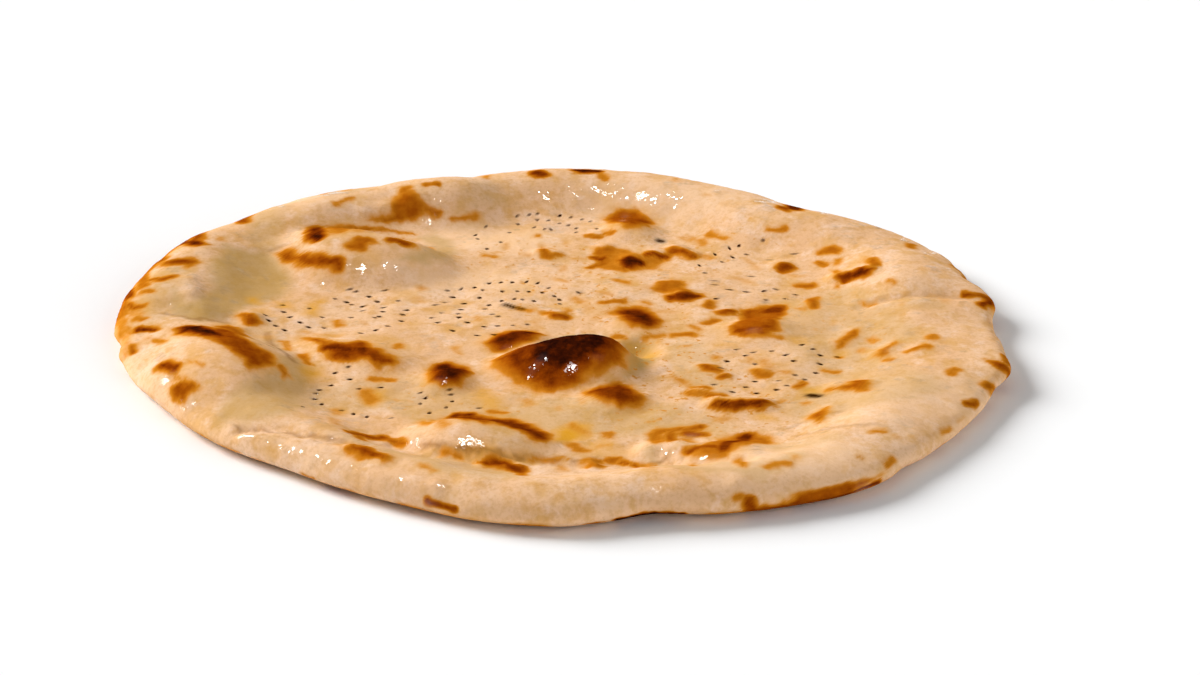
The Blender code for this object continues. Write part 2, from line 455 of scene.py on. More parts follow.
def sink(pins, width, depths, dimple, dark):
    """Open a hole at each pin's place, sink it in steps and paint shade into it."""
    tree = plan_tree(points_of(bread.data), TOP_FROM)
    holes = {}
    for x, y in pins:
        holes.setdefault(tree.find((x, y, 0))[1], (x, y))
    bpy.ops.object.mode_set(mode="EDIT")
    take_hold(holes)
    edited = bmesh.from_edit_mesh(bread.data)
    edited.verts.ensure_lookup_table()
    for index, (x, y) in holes.items():
        edited.verts[index].co.x, edited.verts[index].co.y = x * MM, y * MM
    bmesh.update_edit_mesh(bread.data)
    bpy.ops.transform.translate(
        value=(0, 0, dimple * MM), use_proportional_edit=True,
        proportional_edit_falloff="SMOOTH", proportional_size=2.6 * MM,
    )
    bpy.ops.mesh.bevel(
        offset=width * MM, offset_type="OFFSET", segments=2, profile=0.12,
        affect="VERTICES", clamp_overlap=True,
    )
    for depth in depths:
        bpy.ops.mesh.inset(thickness=0.2 * width * MM, depth=depth * MM)
    for _ in depths:
        bpy.ops.mesh.select_more()
    bpy.ops.object.mode_set(mode="OBJECT")
    # Painted shade: each hole's faces get the darkness of its print.
    pin_hole_shade = np.empty(len(bread.data.vertices), np.float32)
    bread.data.attributes["pin_hole_shade"].data.foreach_get("value", pin_hole_shade)
    for face in bread.data.polygons:
        if face.select:
            pin_hole_shade[list(face.vertices)] = dark
    bread.data.attributes["pin_hole_shade"].data.foreach_set("value", pin_hole_shade)


bread.data.attributes.new("pin_hole_shade", "FLOAT", "POINT")
hard, well, faint = (sum((found[force] for found in PINS.values()), []) for force in range(3))
sink(faint, *FAINT)
sink(well, *WELL)
sink(hard, *HARD)
print("pins, hard, well and faint:", len(hard), len(well), len(faint))

# %% [markdown]
# ## Browning
# The browning follows no simple rule: it depends on what stood up in the oven. So it
# is painted as a baker's map, in plan. A large mark is a patch, with an outline of a
# few points, and a small one is a dab, a short stroke with two ends and a half width.
# Marks on the steep front face have dabs of their own, set by height.
# Depths run from 0.3 for golden to 0.6 for orange brown, 0.9 for dark brown and over 1
# for char. The edges are pulled about by noise, so that none looks drawn. The result is
# kept on the points, as an attribute that the material reads. An image texture could
# hold more, but would be a picture and not a design.

# %% Map the large patches
# Each patch: its depth, how far in it takes to reach that depth, and its outline.
PATCHES = {
    "dark blister": (0.96, 9.0, [
        (-24, -30), (-10, -21), (0, -15), (14, -11), (22, -16), (26, -30), (25, -41), (19, -47),
        (12, -52), (4, -57), (-4, -57), (-12, -51), (-18, -44), (-23, -36),
    ]),
    "dark blister, crest": (1.2, 11.0, [
        (-18, -28), (-8, -20), (4, -14), (18, -14), (24, -26), (25, -38), (19, -45), (9, -51),
        (-3, -53), (-13, -46),
    ]),
    "brown blister": (1.06, 7.0, [
        (-26, -15), (-22, -6), (-14, -2), (-7, -2), (-2, -8), (-5, -15), (-12, -21), (-21, -24),
    ]),
    "small dark blister": (1.16, 6.0, [
        (-43, -33), (-39, -29), (-34, -29), (-28, -34), (-26, -40), (-27, -46), (-30, -52),
        (-37, -54), (-42, -50),
    ]),
    "far middle blister": (1.1, 8.0, [
        (16, 12), (20, 18), (26, 21), (32, 20), (35, 13), (38, 4), (37, -3), (32, -6), (25, -6),
        (21, -1), (19, 5),
    ]),
    "mid brown blister": (0.94, 6.0, [
        (7, -55), (13, -51), (20, -48), (25, -49), (28, -55), (31, -61), (29, -67), (21, -70),
        (14, -66), (9, -60),
    ]),
    "near blister": (0.95, 5.0, [
        (-36, -72), (-30, -69), (-22, -70), (-14, -73), (-7, -78), (-1, -85), (1, -92), (-2, -97),
        (-7, -98), (-10, -93), (-16, -91), (-23, -90), (-31, -88), (-35, -80),
    ]),
    "fold, dark end": (1.2, 6.0, [
        (-130, -14), (-124, -12), (-117, -12), (-113, -19), (-108, -27), (-105, -34), (-112, -34),
        (-121, -30), (-127, -22),
    ]),
    "fold, brown end": (0.8, 5.0, [
        (-114, -16), (-106, -20), (-101, -29), (-96, -35), (-91, -39), (-90, -46), (-93, -52),
        (-99, -57), (-103, -50), (-110, -41), (-116, -34), (-120, -28),
    ]),
    "fold, upper lobe": (0.66, 4.0, [
        (-117, -8), (-111, -1), (-106, -4), (-103, -14), (-100, -26), (-104, -30), (-112, -22),
    ]),
    "long flat mark": (0.9, 6.0, [
        (-88, -8), (-83, -7), (-78, -10), (-74, -17), (-69, -18), (-66, -12), (-62, -16),
        (-59, -23), (-53, -28), (-49, -33), (-52, -37), (-58, -39), (-64, -35), (-71, -35),
        (-76, -31), (-80, -22), (-84, -14),
    ]),
    "back pillow, dark end": (1.16, 4.0, [
        (-91, 66), (-91, 76), (-87, 80), (-84, 79), (-83, 68), (-82, 59), (-87, 57),
    ]),
    "back pillow, brown crest": (0.56, 3.0, [
        (-85, 81), (-79, 84), (-71, 84), (-66, 80), (-65, 70), (-72, 66), (-75, 59), (-82, 57),
    ]),
    "back pillow, near band": (0.78, 3.0, [
        (-101, 58), (-96, 59), (-91, 53), (-84, 49), (-76, 44), (-76, 40), (-82, 41), (-90, 45),
        (-97, 51),
    ]),
    "back pillow, front spot": (0.68, 3.0, [
        (-76, 51), (-71, 56), (-66, 56), (-63, 52), (-68, 48), (-73, 48),
    ]),
    "back left patch": (0.66, 3.0, [
        (-71, 89), (-66, 93), (-62, 95), (-62, 101), (-56, 104), (-50, 99), (-45, 96), (-50, 93),
        (-57, 92), (-65, 89),
    ]),
    "back right blister": (0.8, 5.0, [
        (14, 99), (17, 104), (23, 106), (29, 104), (34, 99), (36, 94), (33, 86), (29, 82),
        (24, 83), (19, 88), (17, 93),
    ]),
    "back dark spot": (1.14, 4.0, [
        (19, 61), (25, 63), (32, 61), (33, 57), (30, 54), (26, 51), (22, 54),
    ]),
    "back dark spot, ground": (0.5, 3.0, [
        (12, 73), (23, 72), (27, 66), (38, 65), (38, 57), (33, 52), (24, 49), (12, 54),
    ]),
    "back orange spot": (0.6, 3.0, [
        (12, 72), (20, 73), (23, 69), (19, 63), (20, 56), (14, 54), (12, 60),
    ]),
    "back long spot": (0.84, 3.0, [
        (38, 71), (43, 71), (47, 67), (51, 62), (48, 60), (43, 63), (39, 67),
    ]),
    "right blister, dark top": (0.94, 3.0, [
        (68, 15), (73, 20), (79, 21), (80, 17), (77, 12), (70, 11),
    ]),
    "right blister": (0.7, 3.0, [
        (63, 18), (69, 20), (79, 20), (79, 12), (76, 2), (76, -7), (72, -12), (64, -12),
        (58, -8), (58, -2), (63, 6), (62, 12),
    ]),
    "right far streak": (1.08, 2.6, [
        (96, 38), (101, 39), (107, 38), (111, 35), (108, 32), (103, 33), (98, 35),
    ]),
    "right far spot": (0.86, 3.0, [(75, 50), (78, 55), (82, 55), (85, 51), (82, 47), (78, 46)]),
    "middle far spot": (0.6, 3.0, [
        (30, 34), (35, 40), (40, 43), (45, 41), (45, 34), (49, 29), (44, 28), (36, 29),
    ]),
    "middle far streak": (1.04, 2.6, [(36, 28), (43, 29), (50, 29), (51, 26), (45, 23), (38, 24)]),
    "right edge mark": (0.92, 3.0, [(141, -36), (145, -35), (150, -37), (150, -42), (145, -41)]),
    "right near mark": (0.72, 3.4, [
        (95, -46), (100, -46), (103, -53), (102, -61), (97, -59), (93, -56), (87, -56),
        (87, -53), (94, -52),
    ]),
    "right long streak": (1.08, 2.6, [
        (48, -66), (53, -64), (60, -63), (67, -63), (71, -64), (66, -67), (60, -68), (52, -68),
    ]),
    "right streak": (0.66, 3.0, [
        (93, -20), (94, -12), (98, -7), (102, -4), (103, -8), (100, -13), (97, -17),
    ]),
    "right pair": (0.6, 3.0, [
        (105, -28), (107, -23), (111, -21), (113, -17), (115, -22), (111, -25), (110, -29),
    ]),
    "right near spot": (0.7, 3.4, [(80, -76), (82, -71), (87, -69), (89, -73), (86, -79), (83, -80)]),
    "near right blister": (0.6, 4.0, [
        (50, -88), (56, -85), (65, -82), (70, -88), (71, -94), (65, -98), (60, -104), (55, -110),
        (49, -112), (44, -108), (41, -104), (46, -99), (50, -94),
    ]),
    "front left mark": (0.92, 4.0, [
        (-66, -107), (-61, -106), (-55, -108), (-51, -112), (-48, -116), (-52, -118), (-58, -115),
        (-63, -111),
    ]),
    "front middle mark": (0.92, 3.4, [
        (-25, -106), (-19, -104), (-13, -105), (-8, -109), (-7, -114), (-11, -114), (-15, -111),
        (-21, -111),
    ]),
    "left edge, dark": (1.14, 3.6, [
        (-135, 72), (-137, 64), (-133, 56), (-128, 52), (-123, 54), (-127, 59), (-131, 63),
        (-131, 70),
    ]),
    "left edge, upper": (0.86, 3.4, [(-141, 42), (-134, 44), (-127, 44), (-125, 39), (-129, 36), (-136, 37)]),
    "left edge, middle": (0.84, 3.4, [(-142, 29), (-136, 29), (-131, 28), (-132, 24), (-137, 24), (-142, 26)]),
    "left edge, low": (0.84, 3.4, [(-149, 14), (-145, 13), (-140, 9), (-140, 6), (-145, 7), (-148, 10)]),
    "left spot": (0.82, 3.6, [(-110, 5), (-107, 8), (-103, 6), (-99, 1), (-101, -3), (-105, -2)]),
    "front left pair": (0.8, 3.0, [(-124, -60), (-119, -59), (-113, -63), (-117, -66), (-119, -69), (-123, -66)]),
}
print("patches:", len(PATCHES))

# %% Map the dabs of the left half
DABS = {}
DABS["left edge, golden band"] = [
    (-133, 76, -141, 60, 4.0, 0.5), (-141, 60, -147, 44, 4.0, 0.58), (-147, 44, -151, 26, 4.5, 0.64),
    (-151, 26, -149, 6, 4.5, 0.6), (-149, 6, -146, -8, 3.5, 0.42), (-146, -8, -143, -26, 2.5, 0.34),
]
DABS["left edge"] = [
    (-130, 72, -128, 61, 3.4, 0.8), (-143, 58, -141, 46, 4.4, 0.74), (-115, 95, -114, 79, 3.2, 0.78),
    (-119, 93, -118, 84, 2.0, 0.45), (-88, 115, -87, 106, 1.6, 0.34), (-79, 117, -79, 109, 2.4, 0.3),
    (-120, 61, -119, 60, 1.4, 0.42), (-81, 94, -76, 99, 1.4, 0.46), (-146, 40, -143, 22, 3.0, 0.62),
    (-149, 26, -147, 18, 1.8, 0.85), (-142, 17, -139, 16, 1.4, 0.6), (-144, 6, -141, -3, 4.0, 0.34),
    (-142, -2, -139, -4, 2.0, 0.55), (-140, -11, -135, -13, 1.8, 0.95), (-141, -22, -140, -26, 1.8, 0.66),
    (-133, -22, -130, -26, 1.5, 0.48), (-137, -19, -136, -20, 1.5, 0.3), (-128, -47, -123, -51, 2.8, 0.9),
    (-122, -56, -120, -58, 2.0, 0.4), (-118, -50, -114, -53, 1.4, 0.36), (-145, -6, -143, -12, 1.6, 0.4),
]
DABS["back pillow"] = [
    (-81, 77, -79, 70, 2.4, 0.66), (-68, 77, -67, 73, 3.0, 0.62), (-58, 78, -57, 64, 3.2, 0.7),
    (-82, 66, -70, 62, 5.0, 0.34),
    (-59, 55, -53, 55, 3.0, 0.82), (-80, 81, -65, 86, 0.8, 0.6), (-65, 86, -53, 84, 0.7, 0.5),
    (-85, 46, -77, 42, 2.4, 0.86), (-88, 61, -85, 58, 2.4, 1.15),
]
DABS["left middle"] = [
    (-89, -46, -87, -50, 1.6, 0.55), (-90, -14, -89, -22, 1.6, 0.42), (-92, -12, -90, -12, 1.3, 0.4),
    (-84, -26, -82, -34, 1.8, 0.58), (-75, 5, -74, 2, 2.2, 0.46), (-66, 5, -65, 3, 1.4, 0.24),
    (-53, -17, -53, -20, 2.2, 0.46), (-60, -43, -54, -43, 1.6, 0.55), (-86, -5, -74, -8, 2.4, 0.26),
    (-61, -54, -59, -59, 4.2, 0.42), (-70, -67, -69, -70, 2.6, 0.32), (-70, -78, -69, -84, 2.4, 0.3),
    (-76, -23, -64, -28, 3.4, 1.02), (-60, -32, -55, -33, 3.0, 0.9), (-48, 34, -47, 33, 2.2, 0.3),
    (-49, 25, -47, 24, 2.0, 0.26), (-103, -8, -96, -10, 3.0, 0.2),
]
DABS["front left rim"] = [
    (-64, -90, -60, -87, 2.0, 0.7), (-60, -87, -54, -87, 1.8, 0.82), (-54, -87, -47, -92, 1.3, 0.7),
    (-61, -89, -60, -95, 2.0, 0.55), (-59, -104, -57, -104, 2.2, 0.45), (-66, -104, -62, -103, 2.6, 0.3),
    (-34, -101, -29, -104, 0.9, 0.5), (-40, -120, -36, -123, 1.5, 0.36),
    (-10, -112, -9, -121, 1.5, 0.6), (-66, -119, -61, -122, 0.8, 0.3),
]

# %% Map the dabs of the middle
DABS["middle"] = [
    (-3, 11, -1, 7, 1.5, 0.62), (-1, 7, 3, 7, 1.6, 0.78), (2, 8, 4, 15, 1.2, 0.42), (-5, 12, -4, 10, 1.5, 0.45),
    (16, 21, 22, 23, 2.2, 0.56), (30, 22, 32, 21, 1.8, 0.4), (6, 25, 8, 23, 2.4, 0.36), (15, 29, 18, 28, 2.0, 0.3),
    (0, 42, 2, 40, 3.0, 0.28), (21, 41, 24, 39, 2.8, 0.44), (-13, 15, -9, 13, 2.4, 0.46), (11, 14, 9, 24, 2.4, 0.24),
    (40, -7, 46, -7, 2.4, 0.56), (46, 1, 48, -2, 2.2, 0.4), (36, 15, 40, 15, 3.0, 0.26), (20, -9, 23, -9, 0.9, 0.56),
    (30, -10, 36, -7, 1.2, 0.48), (-34, -17, -32, -22, 1.6, 0.32), (-28, 9, -27, 6, 1.6, 0.32),
    (14, 9, 13, 5, 2.0, 0.26), (-7, 5, -6, 0, 2.4, 0.22), (38, -41, 43, -47, 2.2, 0.36), (-16, -42, -12, -46, 1.6, 0.34),
    (-6, -50, 4, -52, 2.0, 0.46), (-9, -60, -8, -63, 3.0, 0.3), (-20, -68, -16, -69, 1.3, 0.55),
    (-42, -77, -39, -85, 2.0, 0.42), (-38, -76, -34, -90, 3.4, 0.36), (-32, -72, -27, -71, 1.8, 1.0),
    (-14, -78, -7, -90, 4.0, 1.0), (1, -66, 2, -69, 1.2, 0.26), (8, -62, 9, -64, 1.0, 0.3),
    (6, -80, 10, -85, 2.6, 0.34), (17, -85, 17, -88, 2.4, 0.46), (6, -94, 10, -97, 2.4, 0.5),
    (14, -94, 17, -94, 2.0, 0.3), (10, -104, 15, -104, 2.0, 0.5), (12, -107, 15, -108, 1.8, 0.62),
    (18, -102, 21, -102, 0.9, 0.62), (3, -107, 3, -110, 2.4, 0.32), (-7, -104, 4, -103, 0.6, 0.45),
    (17, -103, 22, -104, 0.6, 0.6), (22, -104, 26, -106, 0.7, 0.72), (26, -106, 32, -107, 0.5, 0.5),
]
DABS["back"] = [
    (-9, 125, -7, 123, 3.4, 1.0), (6, 128, 13, 127, 3.0, 1.2), (15, 124, 17, 120, 1.6, 0.5),
    (43, 120, 43, 117, 2.2, 0.3), (-28, 125, -28, 118, 1.2, 0.4), (-57, 104, -57, 105, 2.4, 0.6),
    (-50, 107, -45, 107, 1.0, 0.66), (-49, 95, -44, 95, 1.5, 0.6), (-39, 94, -30, 96, 1.0, 0.5),
    (17, 85, 20, 83, 1.0, 0.6), (10, 83, 15, 82, 1.7, 0.6), (45, 81, 48, 80, 3.2, 0.32),
    (32, 65, 38, 64, 1.8, 0.9), (29, 62, 38, 61, 2.6, 0.5), (13, 63, 16, 63, 1.8, 0.85),
    (11, 55, 14, 57, 1.5, 0.66), (-6, 69, -4, 63, 2.0, 0.66), (-4, 63, 0, 64, 1.6, 0.6),
    (-6, 76, -6, 68, 1.6, 0.32), (-8, 84, -8, 82, 1.3, 0.48), (2, 79, 2, 77, 1.6, 0.26),
    (-26, 64, -24, 64, 2.6, 0.46), (-19, 77, -19, 72, 1.5, 0.26), (-12, 66, -11, 65, 1.8, 0.26),
    (5, 63, 8, 62, 1.8, 0.28), (2, 56, 2, 51, 1.8, 0.28), (1, 66, 2, 65, 1.0, 0.36),
    (-46, 70, -45, 60, 1.0, 0.34), (53, 104, 54, 104, 1.4, 0.26),
]

# %% Map the dabs of the right half
DABS["right back"] = [
    (81, 92, 82, 90, 3.0, 0.8), (86, 101, 85, 92, 4.0, 0.98), (94, 61, 99, 58, 2.0, 0.6),
    (92, 54, 94, 51, 1.5, 0.6), (99, 52, 99, 50, 1.5, 0.46), (70, 54, 70, 52, 2.8, 0.28),
    (54, 82, 60, 77, 1.9, 0.48), (76, 77, 81, 75, 1.1, 0.56), (67, 59, 69, 57, 2.0, 0.3),
    (51, 65, 54, 62, 2.8, 0.36), (51, 78, 52, 75, 3.0, 0.36), (126, 65, 125, 59, 2.0, 0.6),
    (84, 36, 89, 36, 2.2, 0.62), (97, 45, 98, 40, 1.0, 0.55), (110, 45, 111, 38, 2.0, 0.66),
    (97, 33, 97, 31, 1.4, 0.44), (115, 26, 116, 24, 1.3, 0.44), (53, 22, 52, 18, 2.3, 0.62),
    (56, 13, 60, 14, 2.2, 0.8), (54, 7, 51, 4, 2.0, 0.55), (89, 25, 88, 17, 2.4, 0.6),
    (83, 17, 84, 15, 1.6, 0.36), (105, 16, 109, 15, 0.8, 0.42), (66, 41, 62, 43, 3.0, 0.26),
    (86, 44, 82, 45, 2.4, 0.26), (108, 48, 108, 46, 1.8, 0.3),
]
DABS["right rim"] = [
    (146, 12, 149, 17, 2.0, 0.92), (140, 19, 150, 19, 0.5, 0.8), (133, 14, 133, 12, 2.0, 0.26),
    (106, -12, 107, -15, 1.5, 0.42), (102, -19, 102, -21, 2.0, 0.36), (109, -31, 111, -33, 1.3, 0.44),
    (126, -18, 126, -20, 2.2, 0.54), (117, -28, 123, -26, 1.7, 0.56), (131, -44, 129, -48, 1.8, 0.55),
    (148, -30, 149, -35, 0.9, 0.6), (94, -24, 95, -24, 0.8, 0.5), (139, -53, 142, -50, 1.1, 0.66),
    (132, -67, 136, -64, 1.3, 0.72), (123, -86, 126, -84, 0.9, 0.46), (129, -78, 131, -76, 0.7, 0.4),
    (100, -94, 103, -93, 1.2, 0.46), (107, -95, 108, -96, 1.5, 0.28), (94, -111, 95, -111, 0.9, 0.42),
    (103, -110, 105, -108, 1.3, 0.55), (94, 4, 93, 2, 1.8, 0.2), (118, 10, 117, 8, 2.0, 0.2),
]
DABS["right print"] = [
    (66, -38, 69, -40, 2.0, 0.58), (69, -30, 70, -35, 3.6, 0.32), (74, -38, 76, -38, 2.0, 0.36),
    (64, -27, 64, -29, 1.8, 0.3), (89, -35, 92, -36, 2.0, 0.5), (49, -35, 54, -38, 2.0, 0.72),
    (54, -42, 57, -42, 1.3, 0.68), (53, -26, 53, -28, 1.8, 0.42), (81, -46, 79, -49, 1.5, 0.62),
    (45, -50, 50, -51, 2.0, 0.6), (43, -54, 49, -56, 1.7, 0.5), (50, -56, 54, -58, 2.8, 0.66),
    (81, -63, 82, -63, 1.3, 0.4), (72, -62, 74, -60, 0.7, 0.4), (52, -73, 55, -72, 2.4, 0.32),
    (61, -6, 72, -5, 2.2, 0.84), (66, 13, 68, 17, 2.0, 0.66), (67, -12, 75, -12, 1.2, 0.45),
]
DABS["front right"] = [
    (32, -85, 33, -94, 2.8, 0.56), (37, -85, 37, -93, 3.0, 0.62), (42, -83, 47, -84, 2.8, 0.74),
    (33, -83, 40, -80, 1.8, 0.6), (40, -80, 47, -79, 1.8, 0.64), (42, -88, 43, -95, 3.0, 0.4),
    (61, -87, 53, -104, 3.8, 0.96), (50, -101, 42, -103, 2.0, 0.8), (57, -112, 58, -121, 1.8, 0.46),
    (43, -111, 43, -119, 1.0, 0.4), (66, -121, 72, -118, 1.8, 0.48), (74, -116, 75, -114, 1.8, 0.3),
    (29, -111, 30, -121, 1.6, 0.3),
]
# On the front face a dab is set by its place along the bread and its height.
EDGE_DABS = [
    (56, 9.4, 60, 9, 2.6, 0.8), (60, 8, 61, 1.5, 3.2, 0.84), (63, 2.5, 76, 3.5, 2.8, 0.78),
    (76, 4, 90, 6, 5.2, 0.76), (90, 6, 102, 9, 4.0, 0.66), (74, 1.4, 100, 4, 1.1, 1.0),
    (20, 3.0, 31, 3.2, 1.4, 1.4), (31, 3.2, 40, 3.6, 1.1, 1.3), (10, 2.4, 16, 2.4, 0.8, 0.7),
    (-38, 6.5, -29, 5.5, 1.5, 0.84), (-70, 1.3, -62, 1.2, 0.9, 0.75), (-77, 3.4, -74, 3.4, 1.3, 0.5),
    (-113, 2.6, -110, 2.4, 1.2, 0.45), (-104, 3, -98, 3, 0.9, 0.4),
]
print("dabs:", sum(map(len, DABS.values())))

# %% [markdown]
# ## Butter, painted shade, painted light and tears
# The melted butter gathered in the low places, where it shows yellow. The hollows,
# creases and slopes that face away from the key lamp are darkened with painted shade,
# an olive tan, and a few places are lightened with painted light. On the crests the
# butter lies in small glossy spots. The thin middle is freckled, and a few tears in the
# skin are dark brown slits.

# %% Map the butter, the painted shade and light, and the tears
BUTTER_POOL = (1.0, 4.0, [(-1, -88), (2, -80), (7, -76), (12, -79), (11, -87), (5, -94), (-1, -95)])
BUTTER = [
    (-28, -102, -8, -104, 1.6, 0.6), (-24, -52, -20, -64, 3.0, 0.6), (-79, -41, -79, -43, 4.0, 0.8),
    (-104, 21, -104, 20, 2.0, 0.7), (-95, 19, -94, 18, 1.8, 0.8), (-82, 23, -82, 22, 1.6, 0.7),
    (-84, 20, -84, 11, 2.2, 0.8), (-101, 12, -101, 11, 1.6, 0.6), (79, -12, 82, -13, 1.8, 0.7),
    (66, -71, 68, -72, 1.8, 0.7), (95, -21, 95, -23, 1.8, 0.5), (83, -51, 83, -55, 3.0, 0.6),
    (24, -12, 32, -22, 2.4, 0.5), (55, -18, 55, 8, 4.0, 0.3), (-57, -55, -59, -60, 3.0, 0.7),
    (12, -92, 22, -97, 3.0, 0.4),
]
# Painted shade, in outlines: the hollows, the slopes that face away from the key lamp and the shadow the dark
# blister casts, darkened to an olive tan.
SHADE_PATCHES = {
    "left valley": (1.0, 5.0, [
        (-118, 58), (-104, 60), (-96, 52), (-92, 40), (-93, 28), (-99, 20), (-106, 12),
        (-112, 2), (-118, -5), (-126, -6), (-133, 2), (-134, 18), (-131, 22), (-126, 10),
        (-120, 22), (-123, 38),
    ]),
    "beside the back pillow": (0.8, 4.0, [
        (-52, 82), (-45, 87), (-39, 80), (-36, 66), (-38, 53), (-46, 45), (-57, 43), (-51, 52),
        (-46, 60), (-46, 72),
    ]),
    "near left hollow": (0.8, 5.0, [
        (-92, -36), (-86, -27), (-80, -34), (-77, -48), (-79, -60), (-78, -72), (-83, -84),
        (-96, -87), (-109, -84), (-107, -72), (-99, -60), (-93, -50),
    ]),
    "front hollow": (0.5, 4.0, [
        (-40, -97), (-30, -101), (-12, -104), (-7, -112), (-7, -124), (-14, -130), (-28, -128),
        (-40, -122), (-46, -110),
    ]),
    "dark blister's shade": (1.2, 3.0, [
        (22, -10), (28, -9), (33, -14), (34, -22), (32, -31), (27, -40), (22, -47), (22, -38),
        (23, -28), (22, -18),
    ]),
    "beside the fold": (0.5, 3.0, [
        (-101, -4), (-92, -9), (-87, -25), (-91, -37), (-97, -29), (-101, -15),
    ]),
    "back": (0.3, 3.0, [
        (-38, 100), (-32, 112), (-24, 114), (-18, 106), (-26, 100), (-34, 96),
    ]),
    "back left": (0.45, 4.0, [(-90, 104), (-86, 116), (-76, 118), (-68, 112), (-74, 104)]),
}
# Painted shade, in strokes, for the smaller shaded places.
SHADE_STROKES = [
    (-106, 94, -104, 62, 5.0, 0.5), (94, 8, 128, 10, 5.0, 0.35), (36, -68, 52, -80, 6.0, 0.35),
    (70, -100, 84, -96, 6.0, 0.4), (-62, -98, -44, -108, 4.0, 0.35), (84, -52, 86, -58, 4.0, 0.6),
    (88, 14, 92, -40, 14.0, 0.26), (-70, -58, -48, -52, 12.0, 0.4), (-40, -60, 0, -66, 9.0, 0.3),
    (-40, -58, -24, -66, 9.0, 0.5), (-4, -72, 30, -74, 14.0, 0.55), (44, -20, 50, -50, 8.0, 0.4),
    (80, 12, 104, -44, 14.0, 0.45), (98, 20, 112, -14, 10.0, 0.5), (44, -118, 60, -119, 5.0, 0.35),
    (-52, -56, -38, -72, 8.0, 0.5), (-84, -52, -80, -62, 8.0, 0.5), (-104, 0, -84, -60, 8.0, 0.3),
    (86, -64, 112, -56, 14.0, 0.5), (-134, 30, -138, 0, 8.0, 0.4), (-30, -70, -10, -100, 7.0, 0.3),
    (30, -100, 33, -112, 1.4, 0.6), (33, -112, 40, -122, 1.4, 0.6), (40, -122, 64, -125, 1.4, 0.5),
    (64, -125, 75, -112, 1.4, 0.5),
]
# Where the skin is freckled: the flat middle, more than the rim.
FRECKLED = [
    (8, 48, 50, -70, 34.0, 1.0), (-66, 14, 0, 20, 20.0, 0.5), (-62, -50, -20, -64, 16.0, 0.7),
    (-20, 60, 60, 66, 20.0, 0.8), (84, 40, 108, -30, 16.0, 0.6), (-146, 60, -148, 0, 10.0, 0.6),
]
# Painted light: the dough lightened on slopes that the lamps leave too dark.
PAINTED_LIGHT = [
    (20, 107, 56, 104, 10.0, 0.6), (-103, 96, -84, 100, 7.0, 0.7), (-36, 80, -12, 78, 10.0, 1.0),
    (-46, 42, -16, 42, 7.0, 0.8), (58, -117, 84, -110, 10.0, 0.9), (104, -76, 130, -64, 14.0, 0.6),
    (-66, -112, -40, -118, 6.0, 0.3),
]
# Painted shade: thin darker brown lines along the creases, where the skin folded.
CREASE_SHADE_LINES = [
    (-100, -87, -88, -91, 0.7, 0.7), (-88, -91, -74, -97, 0.7, 0.7), (-74, -97, -64, -102, 0.7, 0.6),
    (-40, -96, -30, -101, 0.7, 0.8), (-30, -101, -14, -104, 0.7, 0.9), (-14, -104, 8, -103, 0.7, 0.9),
    (8, -103, 20, -103, 0.7, 1.0), (20, -103, 28, -107, 0.7, 1.0), (28, -107, 36, -104, 0.7, 0.8),
    (104, 17, 112, 15, 1.2, 0.3), (112, 15, 132, 17, 1.2, 0.35), (132, 17, 150, 18, 1.2, 0.4),
    (-98, -6, -93, -22, 0.8, 0.8), (-93, -22, -86, -38, 0.8, 0.8), (-134, 2, -124, -3, 0.8, 0.6),
    (-124, -3, -112, 0, 0.8, 0.6), (-102, 60, -96, 61, 0.8, 0.5), (-94, 57, -90, 50, 0.8, 0.6),
    (48, -96, 40, -106, 0.8, 0.5), (60, -60, 78, -62, 0.7, 0.4), (70, -80, 92, -74, 0.8, 0.4),
    (76, -88, 104, -90, 0.8, 0.4),
]
TEARS = [
    (-18, 19, -15, 16, 1.0, 1.0), (-15, 16, -12, 15, 0.8, 0.8), (36, 78, 37, 78, 1.2, 1.0),
    (83, -56, 85, -57, 1.8, 1.0), (116, 86, 115, 79, 0.5, 0.4), (8, 30, 8, 29, 0.5, 0.6),
    (72, 24, 72, 23, 0.6, 0.5),
]
